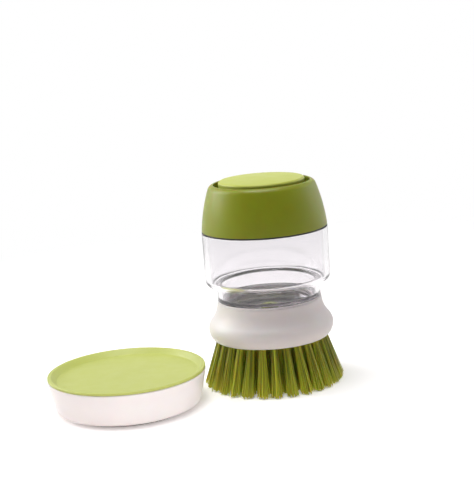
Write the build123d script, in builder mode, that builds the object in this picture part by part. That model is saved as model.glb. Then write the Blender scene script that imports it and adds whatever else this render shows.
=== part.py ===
from build123d import *
import os
from math import acos, atan2, cos, degrees, hypot, pi, sin, sqrt

# Washing-up brush held in the palm: a round head of bristles under a clear soap reservoir, with a
# press button in its cap that pushes soap out among the bristles, and the stand that it is kept on.
# Lengths are millimetres and +Z is up. The origin is on the brush's axis, in the plane of the
# bristle tips, which is the surface that the brush and the stand beside it rest on.

# Brush head
bristle_length = 22.6
head_height = 19.4
head_bulge_radius = 30.5
head_bulge_height = 5.4
head_bulge_round = 6.6
head_mouth_radius = 25.45
head_floor_thickness = 2.2
head_rim_round = 0.4

# Tufts: each ring's name, radius at the roots and number of tufts, from the outside in
tuft_rings = {
    "bristles_outer": (24.9, 28),
    "bristles_second": (19.6, 22),
    "bristles_third": (14.3, 16),
    "bristles_inner": (9.2, 10),
}
tuft_root_radius = 1.6
tuft_root_depth = 3.0
tip_spread_share = 1.3
tuft_flare_share = 1.75
strands_around_tuft = 5
strand_ring_share = 0.66
strand_width = 0.72
strand_sink = 0.4
flat_cut = 0.5
backing_thickness = 1.2
plate_recess = 0.3
plate_thickness = 6.0
plate_radius = 27.0
plate_clearance = 0.05
tuft_hole_clearance = 0.05
anchor_length = 2.9
anchor_thickness = 0.5
anchor_height = 1.4

# Soap valve in the middle of the head
valve_post_radius = 4.4
valve_post_height = 6.3
valve_post_round = 1.2
valve_neck_radius = 2.95
valve_flange_radius = 4.9
valve_flange_thickness = 1.4
valve_nozzle_radius = 3.1
valve_nozzle_length = 4.6
valve_nozzle_round = 1.1
valve_tip_thickness = 1.2
valve_channel_radius = 1.1
valve_port_radius = 0.8
valve_ports = 3
valve_slit_width = 0.3
valve_slit_length = 3.2
valve_clearance = 0.05
plate_bore_radius = 5.2
retainer_thickness = 1.8
retainer_bore_clearance = 0.3

# Screw joint between the head and the reservoir
thread_lead = 8.0
thread_starts = 2
thread_height = 1.1
thread_base_width = 1.9
thread_tip_width = 0.9
thread_clearance = 0.3
thread_sink = 0.4
thread_margin = 0.6
thread_section_angle = 10
thread_end_share = 0.2
seat_gap = 0.15
seal_gap = 0.2
seal_thickness = 1.4
seal_width = 3.8
seal_round = 0.3

# Reservoir
barrel_radius = 30.5
barrel_wall = 2.8
barrel_height = 26.5
neck_band_height = 7.35
neck_radius = 25.2
neck_wall = 2.3
shoulder_rise = 0.5
shoulder_round = 2.8
shoulder_thickness = 1.7
neck_corner_round = 0.5
inner_corner_round = 1.8
inner_lip_round = 0.4
spigot_radius = 22.7
spigot_wall = 2.3
spigot_lip_round = 0.3
cone_height = 1.7
cone_seat = 0.05
rim_wall = 1.0
rim_height = 3.6
rim_round = 0.25
bead_height = 0.3
bead_half_width = 0.6
gasket_thickness = 0.7
gasket_recess = 0.35

# Cap
cap_radius = 30.35
cap_height = 22.1
cap_wall = 2.4
cap_side_height = 16.2
cap_side_radius = 27.25
cap_side_curve = 83.0
cap_crown_round = 3.2
cap_fit = 0.1
well_radius = 23.3
well_depth = 4.6
well_lip_round = 0.4
well_draft = 0.5
well_corner_round = 0.8
well_floor_thickness = 1.8
pocket_radius = 12.6
pocket_wall = 1.5
pocket_depth = 9.2
pocket_floor_thickness = 1.6
guide_wall = 1.6
guide_recess = 0.2

# Air pump under the cap
plug_wall = 1.4
plug_depth = 2.2
pump_disc_thickness = 1.6
pump_flange_thickness = 1.2
cup_radius = 12.9
cup_wall = 1.5
cup_depth = 3.4
cup_floor_thickness = 1.5
cup_round = 0.8
air_hole_radius = 0.8
air_hole_circle = 4.0
air_holes = 3
diaphragm_wall = 1.0
diaphragm_flange = 1.2
diaphragm_dome_radius = 11.0
diaphragm_top_radius = 6.4
diaphragm_fit = 0.1
diaphragm_round = 0.8
clamp_ring_height = 1.6
clamp_ring_gap = 0.25
air_valve_radius = 4.0
air_valve_circle = 19.6
air_valve_stem_radius = 1.2
air_valve_barb_radius = 1.8
air_valve_barb_height = 2.0
air_valve_lip = 0.9
air_valve_fit = 0.05
breather_radius = 0.6
breather_circle = 2.6
breathers = 3

# Button
button_radius = 20.8
button_edge_height = 1.3
button_dome = 0.9
button_edge_round = 1.1
button_edge_wall = 1.5
button_skirt = 2.5
button_plate_thickness = 1.5
button_boss_radius = 3.4
button_boss_length = 7.0
boss_fit = 0.05
stem_radius = 6.0
stem_clearance = 0.1
stem_tip_length = 1.0
stem_tip_round = 0.6
stem_gap = 0.2
clip_thickness = 0.9
clip_radius = 8.2
clip_groove_depth = 1.1
clip_fit = 0.05
clip_gap = 0.25
clip_mouth_width = 6.0

# Return spring
wire_radius = 0.45
coil_radius = 10.2
end_pitch = 1.4
open_turns = 3
turn_quarters = 4

# Stand
stand_radius = 37.5
stand_base_radius = 34.2
stand_height = 18.0
stand_wall = 2.3
stand_floor_thickness = 2.0
stand_base_round = 2.4
stand_rim_round = 0.5
stand_bearing = 199.9
stand_tip_gap = 2.3
foot_radius = 30.5
foot_width = 3.5
foot_height = 1.0
foot_groove_depth = 0.6
foot_fit = 0.1
tray_rim_height = 1.25
tray_rim_width = 1.7
tray_recess = 2.4
tray_thickness = 1.2
tray_wall_clearance = 0.3
tray_seat_gap = 0.15
tray_rim_inset = 0.2
tray_rim_round = 0.5

# Height of one cut or lift that only has to be longer than what it passes through
overrun = 1.0

# Heights above the surface, from the bristle tips up
z_head = bristle_length
z_face = z_head + plate_recess
z_plate = z_face + backing_thickness
z_floor_under = z_plate + plate_thickness
z_floor = z_floor_under + head_floor_thickness
z_seal = z_floor + seal_gap
z_spigot = z_seal + seal_thickness + seal_gap
z_mouth = z_head + head_height
z_neck = z_mouth + seat_gap
z_shoulder = z_neck + neck_band_height
z_inner_floor = z_shoulder + shoulder_thickness
z_cone = z_neck + cone_seat
z_barrel_top = z_shoulder + barrel_height
z_rim_top = z_barrel_top + rim_height
z_cap = z_barrel_top + gasket_thickness
z_cap_rim = z_cap + cap_height
z_well = z_cap_rim - well_depth
z_pocket = z_well - pocket_depth
z_pocket_under = z_pocket - pocket_floor_thickness
z_flange = z_rim_top + pump_flange_thickness
z_plug = z_rim_top - plug_depth
z_disc = z_plug + pump_disc_thickness
z_cup = z_plug - cup_depth
z_cup_floor = z_cup + cup_floor_thickness

# Radii that follow from what fits in what
socket_radius = spigot_radius + thread_height + thread_clearance
spigot_bore = spigot_radius - spigot_wall
neck_bore = neck_radius - neck_wall
barrel_bore = barrel_radius - barrel_wall
rim_radius = barrel_bore + rim_wall
skirt_bore = rim_radius + cap_fit
plug_radius = barrel_bore - cap_fit
guide_bore = stem_radius + stem_clearance
guide_radius = guide_bore + guide_wall
pocket_outer = pocket_radius + pocket_wall
valve_hole = valve_neck_radius + valve_clearance


def outline(*corners):
    """Closed outline of a turned piece: each corner's radius, height and rounding."""
    FilletPolyline(
        [(radius, height) for radius, height, rounding in corners],
        radius=[rounding for radius, height, rounding in corners],
        close=True,
    )


def save(piece, name):
    piece.part.label = name
    export_step(piece.part, f"parts/{name}.step")


os.makedirs("parts", exist_ok=True)

# Thread ridges: one ridge of each thread, as sections along the helix with run-out ends.
# The head's ridges run half a pitch from the reservoir's, so that both climb the same helix.
ridge_inset = thread_base_width / 2 + thread_margin
spigot_ridge_ends = (z_spigot + ridge_inset, z_neck - ridge_inset)
socket_ridge_ends = (z_seal + ridge_inset, z_mouth - ridge_inset)
pitch = thread_lead / thread_starts
socket_lag = socket_ridge_ends[0] - spigot_ridge_ends[0] - pitch / 2


def ridge_sections(ends, first_angle):
    """Planes and sizes of a ridge's sections: X points outwards and Z along the ridge."""
    rise = ends[1] - ends[0]
    count = round(rise / thread_lead * 360 / thread_section_angle)
    for k in range(count + 1):
        angle = first_angle + k * rise / count / thread_lead * 2 * pi
        outward = (cos(angle), sin(angle), 0)
        onward = (-sin(angle), cos(angle), 0)
        size_share = thread_end_share if k in (0, count) else 1
        yield outward, onward, ends[0] + k * rise / count, size_share


with BuildPart() as spigot_ridge:
    for outward, onward, height, size_share in ridge_sections(spigot_ridge_ends, 0):
        foot = Vector(*outward) * spigot_radius + Vector(0, 0, height)
        with BuildSketch(Plane(origin=foot, x_dir=outward, z_dir=onward)):
            Polygon(
                (-thread_sink, -thread_base_width / 2 * size_share),
                (thread_height * size_share, -thread_tip_width / 2 * size_share),
                (thread_height * size_share, thread_tip_width / 2 * size_share),
                (-thread_sink, thread_base_width / 2 * size_share),
                align=None,
            )
    loft(ruled=True)

with BuildPart() as socket_ridge:
    lag_angle = socket_lag / thread_lead * 2 * pi
    for outward, onward, height, size_share in ridge_sections(socket_ridge_ends, lag_angle):
        foot = Vector(*outward) * socket_radius + Vector(0, 0, height)
        with BuildSketch(Plane(origin=foot, x_dir=outward, z_dir=onward)):
            Polygon(
                (thread_sink, -thread_base_width / 2 * size_share),
                (-thread_height * size_share, -thread_tip_width / 2 * size_share),
                (-thread_height * size_share, thread_tip_width / 2 * size_share),
                (thread_sink, thread_base_width / 2 * size_share),
                align=None,
            )
    loft(ruled=True)

# Head: its side is a bulge under a waist, two arcs that meet smoothly. The waist's centre is level
# with the mouth, so the side stands upright there.
bulge_centre = (head_bulge_radius - head_bulge_round, z_head + head_bulge_height)
mouth_step = head_mouth_radius - bulge_centre[0]
mouth_rise = z_mouth - bulge_centre[1]
waist_round = (mouth_step**2 + mouth_rise**2 - head_bulge_round**2) / (
    2 * (head_bulge_round - mouth_step)
)
waist_centre = (head_mouth_radius + waist_round, z_mouth)
lower_angle = degrees(-atan2(head_bulge_height, sqrt(head_bulge_round**2 - head_bulge_height**2)))
waist_angle = degrees(atan2(mouth_rise, waist_centre[0] - bulge_centre[0]))

with BuildPart() as head_collar:
    with BuildSketch(Plane.XZ):
        with BuildLine():
            bulge = CenterArc(
                bulge_centre, head_bulge_round, lower_angle, waist_angle - lower_angle
            )
            waist = CenterArc(waist_centre, waist_round, 180 + waist_angle, -waist_angle)
            Polyline(
                waist @ 1,
                (socket_radius, z_mouth),
                (socket_radius, z_floor),
                (valve_hole, z_floor),
                (valve_hole, z_floor_under),
                (plate_radius + plate_clearance, z_floor_under),
                (plate_radius + plate_clearance, z_head),
                bulge @ 0,
            )
        mouth_edges = make_face().vertices().group_by(Axis.Y)[-1]
        fillet(mouth_edges, radius=head_rim_round)
    revolve(axis=Axis.Z)
    with PolarLocations(0, thread_starts):
        add(socket_ridge.part)
save(head_collar, "head_collar")

# Tuft plate: the drilled block that closes the head from below
with BuildPart() as tuft_plate:
    with BuildSketch(Plane.XY.offset(z_plate)):
        Circle(plate_radius)
        Circle(plate_bore_radius, mode=Mode.SUBTRACT)
    extrude(amount=plate_thickness)
    with BuildSketch(Plane.XY.offset(z_plate)):
        for ring_radius, tufts in tuft_rings.values():
            with PolarLocations(ring_radius, tufts):
                Circle(tuft_root_radius + tuft_hole_clearance)
    extrude(amount=tuft_root_depth + anchor_height, mode=Mode.SUBTRACT)
save(tuft_plate, "tuft_plate")

# Bristles: each ring's strands hang from a slice of the plate's face, and their roots stand up
# into its holes. A tuft spreads towards its tip, and leans outwards with its ring's radius.
ring_radii = [radius for radius, tufts in tuft_rings.values()]
slice_edges = [plate_radius]
slice_edges += [(a + b) / 2 for a, b in zip(ring_radii, ring_radii[1:])]
slice_edges += [plate_bore_radius]
strand_offsets = [(0, 0)]
for k in range(strands_around_tuft):
    turn = 2 * pi * k / strands_around_tuft
    reach = tuft_root_radius * strand_ring_share
    strand_offsets.append((reach * cos(turn), reach * sin(turn)))


def strand(ring_radius, outward, across):
    """One strand of the tuft that lies on the X axis, from inside the slice to below the tips."""
    root = Pos(ring_radius + outward, across, z_face + strand_sink)
    tip = Pos(
        ring_radius * tip_spread_share + outward * tuft_flare_share,
        across * tuft_flare_share,
        -flat_cut,
    )
    section = Rectangle(strand_width, strand_width, mode=Mode.PRIVATE)
    return loft([root * section, tip * section], mode=Mode.PRIVATE)


strand_count = 0
for ring, (name, (ring_radius, tufts)) in enumerate(tuft_rings.items()):
    tuft = [strand(ring_radius, outward, across) for outward, across in strand_offsets]
    with BuildPart() as bristles:
        with BuildSketch(Plane.XY.offset(z_face)):
            Circle(slice_edges[ring])
            Circle(slice_edges[ring + 1], mode=Mode.SUBTRACT)
        extrude(amount=backing_thickness)
        with BuildSketch(Plane.XY.offset(z_plate)):
            with PolarLocations(ring_radius, tufts):
                Circle(tuft_root_radius)
        extrude(amount=tuft_root_depth)
        with PolarLocations(0, tufts):
            add(tuft)
        split(bisect_by=Plane.XY, keep=Keep.TOP)
    save(bristles, name)
    strand_count += tufts * len(strand_offsets)
print("strands:", strand_count)

# Anchors: a flat metal staple over each tuft's root
with BuildPart() as tuft_anchors:
    with BuildSketch(Plane.XY.offset(z_plate + tuft_root_depth)):
        for ring_radius, tufts in tuft_rings.values():
            with PolarLocations(ring_radius, tufts):
                Rectangle(anchor_thickness, anchor_length)
    extrude(amount=anchor_height)
save(tuft_anchors, "tuft_anchors")

# Soap valve: a hollow silicone post held in the head's floor, with a slit nozzle underneath
z_nozzle = z_floor_under - valve_flange_thickness
z_nozzle_tip = z_nozzle - valve_nozzle_length
z_post = z_floor + valve_post_height

with BuildPart() as soap_valve:
    with BuildSketch(Plane.XZ):
        with BuildLine():
            outline(
                (0, z_nozzle_tip, 0),
                (valve_nozzle_radius, z_nozzle_tip, valve_nozzle_round),
                (valve_nozzle_radius, z_nozzle, 0),
                (valve_flange_radius, z_nozzle, 0),
                (valve_flange_radius, z_floor_under, 0),
                (valve_neck_radius, z_floor_under, 0),
                (valve_neck_radius, z_floor, 0),
                (valve_post_radius, z_floor, 0),
                (valve_post_radius, z_post, valve_post_round),
                (valve_channel_radius, z_post, 0),
                (valve_channel_radius, z_nozzle_tip + valve_tip_thickness, 0),
                (0, z_nozzle_tip + valve_tip_thickness, 0),
            )
        make_face()
    revolve(axis=Axis.Z)
    with BuildSketch(Plane.XY.offset(z_nozzle_tip - overrun)):
        Rectangle(valve_slit_length, valve_slit_width)
    extrude(amount=overrun + valve_tip_thickness + overrun, mode=Mode.SUBTRACT)
    for k in range(valve_ports):
        port_plane = Plane(
            origin=(0, 0, z_floor + 2 * valve_port_radius),
            z_dir=(cos(2 * pi * k / valve_ports), sin(2 * pi * k / valve_ports), 0),
        )
        with BuildSketch(port_plane):
            Circle(valve_port_radius)
        extrude(amount=valve_post_radius + overrun, mode=Mode.SUBTRACT)
save(soap_valve, "soap_valve")

with BuildPart() as valve_retainer:
    with BuildSketch(Plane.XY.offset(z_nozzle - retainer_thickness)):
        Circle(plate_bore_radius - valve_clearance)
        Circle(valve_nozzle_radius + retainer_bore_clearance, mode=Mode.SUBTRACT)
    extrude(amount=retainer_thickness)
save(valve_retainer, "valve_retainer")

# Neck seal: the flat ring that the reservoir's spigot presses on the head's floor
with BuildPart() as neck_seal:
    with BuildSketch(Plane.XZ):
        with BuildLine():
            outline(
                (spigot_radius - seal_width, z_seal, seal_round),
                (spigot_radius, z_seal, seal_round),
                (spigot_radius, z_seal + seal_thickness, seal_round),
                (spigot_radius - seal_width, z_seal + seal_thickness, seal_round),
            )
        make_face()
    revolve(axis=Axis.Z)
save(neck_seal, "neck_seal")

# Reservoir: a clear barrel on a thick neck band, with a threaded spigot under it and a thin rim
# on top that the cap snaps over
z_bead = z_barrel_top + rim_height / 2

with BuildPart() as reservoir:
    with BuildSketch(Plane.XZ):
        with BuildLine():
            outline(
                (spigot_bore, z_spigot, 0),
                (spigot_radius, z_spigot, spigot_lip_round),
                (spigot_radius, z_neck, 0),
                (neck_radius, z_neck, spigot_lip_round),
                (neck_radius, z_shoulder, neck_corner_round),
                (barrel_radius, z_shoulder + shoulder_rise, shoulder_round),
                (barrel_radius, z_barrel_top, rim_round),
                (rim_radius, z_barrel_top, 0),
                (rim_radius, z_bead - bead_half_width, 0),
                (rim_radius + bead_height, z_bead, 0),
                (rim_radius, z_bead + bead_half_width, 0),
                (rim_radius, z_rim_top, rim_round),
                (barrel_bore, z_rim_top, rim_round),
                (barrel_bore, z_inner_floor, inner_corner_round),
                (neck_bore, z_inner_floor, inner_lip_round),
                (neck_bore, z_cone + cone_height, inner_lip_round),
                (spigot_bore, z_cone, inner_lip_round),
            )
        make_face()
    revolve(axis=Axis.Z)
    with PolarLocations(0, thread_starts):
        add(spigot_ridge.part)
save(reservoir, "reservoir")

with BuildPart() as cap_gasket:
    with BuildSketch(Plane.XY.offset(z_barrel_top)):
        Circle(cap_radius - gasket_recess)
        Circle(skirt_bore, mode=Mode.SUBTRACT)
    extrude(amount=gasket_thickness)
save(cap_gasket, "cap_gasket")

# Cap: the side is one long arc, which the crown, a short one, turns over to the well's rim. Inside
# are the well that the button sinks into, the spring's pocket and the tube that guides the stem.
side_chord = hypot(cap_radius - cap_side_radius, cap_side_height)
side_middle = ((cap_radius + cap_side_radius) / 2, z_cap + cap_side_height / 2)
side_depth = sqrt(cap_side_curve**2 - (side_chord / 2) ** 2)
side_centre = (
    side_middle[0] - side_depth * cap_side_height / side_chord,
    side_middle[1] - side_depth * (cap_radius - cap_side_radius) / side_chord,
)


def cap_side(height):
    """Radius of the cap's outside at a height on its long arc."""
    return side_centre[0] + sqrt(cap_side_curve**2 - (height - side_centre[1]) ** 2)


foot_angle = degrees(atan2(z_cap - side_centre[1], cap_radius - side_centre[0]))
crown_rise = z_cap_rim - cap_crown_round - side_centre[1]
crown_reach = sqrt((cap_side_curve - cap_crown_round) ** 2 - crown_rise**2)
crown_centre = (side_centre[0] + crown_reach, z_cap_rim - cap_crown_round)
crown_angle = degrees(atan2(crown_rise, crown_reach))
rim_angle = degrees(acos((well_radius - crown_centre[0]) / cap_crown_round))
z_ledge = z_flange
z_well_under = z_well - well_floor_thickness

with BuildPart() as grip_cap:
    with BuildSketch(Plane.XZ):
        with BuildLine():
            side = CenterArc(side_centre, cap_side_curve, foot_angle, crown_angle - foot_angle)
            crown = CenterArc(crown_centre, cap_crown_round, crown_angle, rim_angle - crown_angle)
            Polyline(
                crown @ 1,
                (well_radius - well_draft, z_well),
                (pocket_radius, z_well),
                (pocket_radius, z_pocket),
                (guide_radius, z_pocket),
                (guide_radius, z_well - guide_recess),
                (guide_bore, z_well - guide_recess),
                (guide_bore, z_pocket_under),
                (pocket_outer, z_pocket_under),
                (pocket_outer, z_well_under),
                (cap_side(z_well_under) - cap_wall, z_well_under),
                (cap_side(z_ledge) - cap_wall, z_ledge),
                (skirt_bore, z_ledge),
                (skirt_bore, z_bead + bead_half_width + cap_fit),
                (skirt_bore + bead_height, z_bead),
                (skirt_bore, z_bead - bead_half_width - cap_fit),
                (skirt_bore, z_cap),
                side @ 0,
            )
        well_lip = make_face().vertices().group_by(Axis.Y)[-1]
        fillet(well_lip, radius=well_lip_round)
    revolve(axis=Axis.Z)
    well_corner = grip_cap.edges().filter_by(GeomType.CIRCLE).filter_by(
        lambda edge: abs(edge.center().Z - z_well) < cap_fit and edge.radius > button_radius
    )
    fillet(well_corner, radius=well_corner_round)
save(grip_cap, "grip_cap")

# Pump base: a plug in the reservoir's rim, with a cup in its middle for the diaphragm
with BuildPart() as pump_base:
    with BuildSketch(Plane.XZ):
        with BuildLine():
            outline(
                (0, z_cup, 0),
                (cup_radius + cup_wall, z_cup, cup_round),
                (cup_radius + cup_wall, z_plug, 0),
                (plug_radius, z_plug, rim_round),
                (plug_radius, z_rim_top, 0),
                (rim_radius, z_rim_top, 0),
                (rim_radius, z_flange, rim_round),
                (plug_radius - plug_wall, z_flange, 0),
                (plug_radius - plug_wall, z_disc, 0),
                (cup_radius, z_disc, 0),
                (cup_radius, z_cup_floor, 0),
                (0, z_cup_floor, 0),
            )
        make_face()
    revolve(axis=Axis.Z)
    with BuildSketch(Plane.XY.offset(z_cup - overrun)):
        with PolarLocations(air_hole_circle, air_holes):
            Circle(air_hole_radius)
        with Locations((air_valve_circle, 0)):
            Circle(air_valve_stem_radius + air_valve_fit)
            with PolarLocations(breather_circle, breathers):
                Circle(breather_radius)
    extrude(amount=z_flange - z_cup + 2 * overrun, mode=Mode.SUBTRACT)
save(pump_base, "pump_base")

# Diaphragm: a silicone dome on the cup's floor, which the button's stem pushes down
z_diaphragm_top = z_pocket_under - clip_gap - clip_fit - clip_thickness - stem_tip_length - stem_gap
diaphragm_edge = cup_radius - 2 * diaphragm_fit

with BuildPart() as pump_diaphragm:
    with BuildSketch(Plane.XZ):
        with BuildLine():
            outline(
                (diaphragm_dome_radius - diaphragm_wall, z_cup_floor, 0),
                (diaphragm_edge, z_cup_floor, 0),
                (diaphragm_edge, z_cup_floor + diaphragm_flange, 0),
                (diaphragm_dome_radius, z_cup_floor + diaphragm_flange, 0),
                (diaphragm_top_radius, z_diaphragm_top, diaphragm_round),
                (0, z_diaphragm_top, 0),
                (0, z_diaphragm_top - diaphragm_wall, 0),
                (diaphragm_top_radius - diaphragm_wall / 2, z_diaphragm_top - diaphragm_wall, 0),
                (diaphragm_dome_radius - diaphragm_wall, z_cup_floor + diaphragm_wall, 0),
            )
        make_face()
    revolve(axis=Axis.Z)
save(pump_diaphragm, "pump_diaphragm")

with BuildPart() as diaphragm_ring:
    with BuildSketch(Plane.XY.offset(z_cup_floor + diaphragm_flange)):
        Circle(cup_radius - diaphragm_fit)
        Circle(diaphragm_dome_radius + clamp_ring_gap, mode=Mode.SUBTRACT)
    extrude(amount=clamp_ring_height)
save(diaphragm_ring, "diaphragm_ring")

# Air valve: an umbrella of silicone under the pump base that lets air back into the reservoir
valve_plane = Plane(origin=(air_valve_circle, 0, 0), x_dir=(1, 0, 0), z_dir=(0, -1, 0))

with BuildPart() as air_valve:
    with BuildSketch(valve_plane):
        with BuildLine():
            outline(
                (0, z_plug - air_valve_lip, 0),
                (air_valve_radius, z_plug - air_valve_lip / 2, 0),
                (air_valve_radius, z_plug, 0),
                (air_valve_stem_radius, z_plug, 0),
                (air_valve_stem_radius, z_disc, 0),
                (air_valve_barb_radius, z_disc, 0),
                (air_valve_stem_radius, z_disc + air_valve_barb_height, 0),
                (0, z_disc + air_valve_barb_height, 0),
            )
        make_face()
    revolve(axis=Axis((air_valve_circle, 0, 0), (0, 0, 1)))
save(air_valve, "air_valve")

# Button: a gently domed disc with a short skirt, on a boss that sits in the hollow stem
z_button_edge = z_cap_rim + button_edge_height
z_button_under = z_button_edge - button_plate_thickness
z_button_skirt = z_button_edge - button_skirt
z_clip = z_pocket_under - clip_gap - clip_fit - clip_thickness
z_stem = z_clip - stem_tip_length
z_boss = z_button_under - button_boss_length
dome_curve = (button_radius**2 + button_dome**2) / (2 * button_dome)

with BuildPart() as push_button:
    with BuildSketch(Plane.XZ):
        with BuildLine():
            dome = RadiusArc(
                (0, z_button_edge + button_dome), (button_radius, z_button_edge), dome_curve
            )
            Polyline(
                (button_radius, z_button_edge),
                (button_radius, z_button_skirt),
                (button_radius - button_edge_wall, z_button_skirt),
                (button_radius - button_edge_wall, z_button_under),
                (button_boss_radius, z_button_under),
                (button_boss_radius, z_boss),
                (0, z_boss),
                (0, z_button_edge + button_dome),
            )
        make_face()
    revolve(axis=Axis.Z)
    edge_circle = push_button.edges().filter_by(GeomType.CIRCLE).filter_by(
        lambda edge: abs(edge.center().Z - z_button_edge) < boss_fit
        and edge.radius > button_radius - boss_fit
    )
    fillet(edge_circle, radius=button_edge_round)
save(push_button, "push_button")

with BuildPart() as button_stem:
    with BuildSketch(Plane.XZ):
        with BuildLine():
            outline(
                (0, z_stem, 0),
                (stem_radius, z_stem, stem_tip_round),
                (stem_radius, z_clip, 0),
                (stem_radius - clip_groove_depth, z_clip, 0),
                (stem_radius - clip_groove_depth, z_clip + clip_thickness + 2 * clip_fit, 0),
                (stem_radius, z_clip + clip_thickness + 2 * clip_fit, 0),
                (stem_radius, z_button_under, 0),
                (button_boss_radius + boss_fit, z_button_under, 0),
                (button_boss_radius + boss_fit, z_boss - boss_fit, 0),
                (0, z_boss - boss_fit, 0),
            )
        make_face()
    revolve(axis=Axis.Z)
save(button_stem, "button_stem")

# Stem clip: the open ring in the stem's groove that stops the button at the top of its stroke
with BuildPart() as stem_clip:
    with BuildSketch(Plane.XY.offset(z_clip + clip_fit)):
        Circle(clip_radius)
        Circle(stem_radius - clip_groove_depth + clip_fit, mode=Mode.SUBTRACT)
        with Locations((clip_radius, 0)):
            Rectangle(2 * clip_radius, clip_mouth_width, mode=Mode.SUBTRACT)
    extrude(amount=clip_thickness)
save(stem_clip, "stem_clip")

# Return spring: one closed turn at each end and open turns between, from the pocket's floor to the
# button's underside. Its axis is a chain of arcs, two to each quarter turn of the helix.
spring_foot = z_pocket + wire_radius
spring_rise = z_button_under - wire_radius - spring_foot
open_pitch = (spring_rise - 2 * end_pitch) / open_turns
quarters = [end_pitch] * turn_quarters
quarters += [open_pitch] * turn_quarters * open_turns
quarters += [end_pitch] * turn_quarters


def helix_point(turns, height):
    angle = 2 * pi * turns
    return Vector(coil_radius * cos(angle), coil_radius * sin(angle), height)


def helix_tangent(turns, rise_per_turn):
    angle = 2 * pi * turns
    around = 2 * pi * coil_radius
    return Vector(-around * sin(angle), around * cos(angle), rise_per_turn).normalized()


spring_points = [helix_point(0, spring_foot)]
spring_tangents = [helix_tangent(0, quarters[0])]
for k, rise_per_turn in enumerate(quarters):
    height = spring_points[-1].Z + rise_per_turn / turn_quarters
    following = quarters[min(k + 1, len(quarters) - 1)]
    spring_points.append(helix_point((k + 1) / turn_quarters, height))
    spring_tangents.append(
        helix_tangent((k + 1) / turn_quarters, (rise_per_turn + following) / 2)
    )


def arc_joint(start, start_tangent, end, end_tangent):
    """Where two arcs that leave one point and reach another along given tangents meet."""
    chord = end - start
    both = start_tangent + end_tangent
    a = both.dot(both) - 4
    b = -2 * chord.dot(both)
    c = chord.dot(chord)
    arm = (-b - sqrt(b * b - 4 * a * c)) / (2 * a)
    near, far = start + start_tangent * arm, end - end_tangent * arm
    return (near + far) * (1 / 2), (far - near).normalized()


with BuildPart() as return_spring:
    with BuildLine() as spring_path:
        for k in range(len(quarters)):
            start, end = spring_points[k], spring_points[k + 1]
            joint, joint_tangent = arc_joint(
                start, spring_tangents[k], end, spring_tangents[k + 1]
            )
            TangentArc(start, joint, tangent=spring_tangents[k])
            TangentArc(joint, end, tangent=joint_tangent)
    with BuildSketch(Plane(origin=spring_points[0], z_dir=spring_tangents[0])):
        Circle(wire_radius)
    sweep(path=spring_path.wires()[0])
save(return_spring, "return_spring")

spring_line = spring_path.wires()[0]
samples_each_turn = 36
samples = samples_each_turn * (open_turns + 2)
spring_samples = [spring_line @ (k / samples) for k in range(samples + 1)]
least_gap = min(
    (spring_samples[i] - spring_samples[j]).length - 2 * wire_radius
    for i in range(samples + 1)
    for j in range(i + samples_each_turn // 2, samples + 1)
)
print("spring: turns", open_turns + 2, "least gap to itself, mm:", round(least_gap, 3))

# Stand: a dish with a tray in its mouth, on a rubber ring. It stands just clear of the bristle
# tips, on the left of the brush and a little in front.
tip_reach = (
    ring_radii[0] * tip_spread_share
    + tuft_root_radius * strand_ring_share * tuft_flare_share
    + strand_width
)
stand_distance = tip_reach + stand_tip_gap + stand_radius
stand_angle = 2 * pi * stand_bearing / 360
stand_centre = (stand_distance * cos(stand_angle), stand_distance * sin(stand_angle))
stand_side = Plane(origin=(*stand_centre, 0), x_dir=(1, 0, 0), z_dir=(0, -1, 0))
stand_axis = Axis((*stand_centre, 0), (0, 0, 1))
z_dish = foot_height
z_dish_floor = z_dish + stand_floor_thickness
z_tray_rim = stand_height
z_tray_seat = z_tray_rim - tray_rim_height
z_dish_rim = z_tray_seat - tray_seat_gap
z_tray_top = z_tray_rim - tray_recess
z_tray_under = z_tray_top - tray_thickness
print("stand centre, mm:", [round(v, 2) for v in stand_centre])


def stand_side_radius(height):
    """Radius of the dish's sloping side at a height."""
    slope = (stand_radius - stand_base_radius) / (z_dish_rim - z_dish)
    return stand_base_radius + slope * (height - z_dish)


tray_wall_radius = stand_side_radius(z_tray_under) - stand_wall - tray_wall_clearance

with BuildPart() as stand_dish:
    with BuildSketch(stand_side):
        with BuildLine():
            outline(
                (0, z_dish, 0),
                (foot_radius - foot_width - foot_fit, z_dish, 0),
                (foot_radius - foot_width - foot_fit, z_dish + foot_groove_depth, 0),
                (foot_radius + foot_fit, z_dish + foot_groove_depth, 0),
                (foot_radius + foot_fit, z_dish, 0),
                (stand_base_radius, z_dish, stand_base_round),
                (stand_radius, z_dish_rim, stand_rim_round),
                (stand_radius - stand_wall, z_dish_rim, stand_rim_round),
                (stand_side_radius(z_dish_floor) - stand_wall, z_dish_floor, stand_wall / 2),
                (0, z_dish_floor, 0),
            )
        make_face()
    revolve(axis=stand_axis)
save(stand_dish, "stand_dish")

with BuildPart() as stand_tray:
    with BuildSketch(stand_side):
        with BuildLine():
            outline(
                (0, z_tray_under, 0),
                (tray_wall_radius, z_tray_under, tray_rim_round),
                (tray_wall_radius, z_tray_seat, 0),
                (stand_radius - tray_rim_inset, z_tray_seat, 0),
                (stand_radius - tray_rim_inset, z_tray_rim, tray_rim_round),
                (stand_radius - tray_rim_inset - tray_rim_width, z_tray_rim, tray_rim_round),
                (tray_wall_radius - tray_thickness, z_tray_top, tray_rim_round),
                (0, z_tray_top, 0),
            )
        make_face()
    revolve(axis=stand_axis)
save(stand_tray, "stand_tray")

with BuildPart() as stand_foot:
    with BuildSketch():
        with Locations(stand_centre):
            Circle(foot_radius)
            Circle(foot_radius - foot_width, mode=Mode.SUBTRACT)
    extrude(amount=z_dish + foot_groove_depth)
save(stand_foot, "stand_foot")
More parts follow.
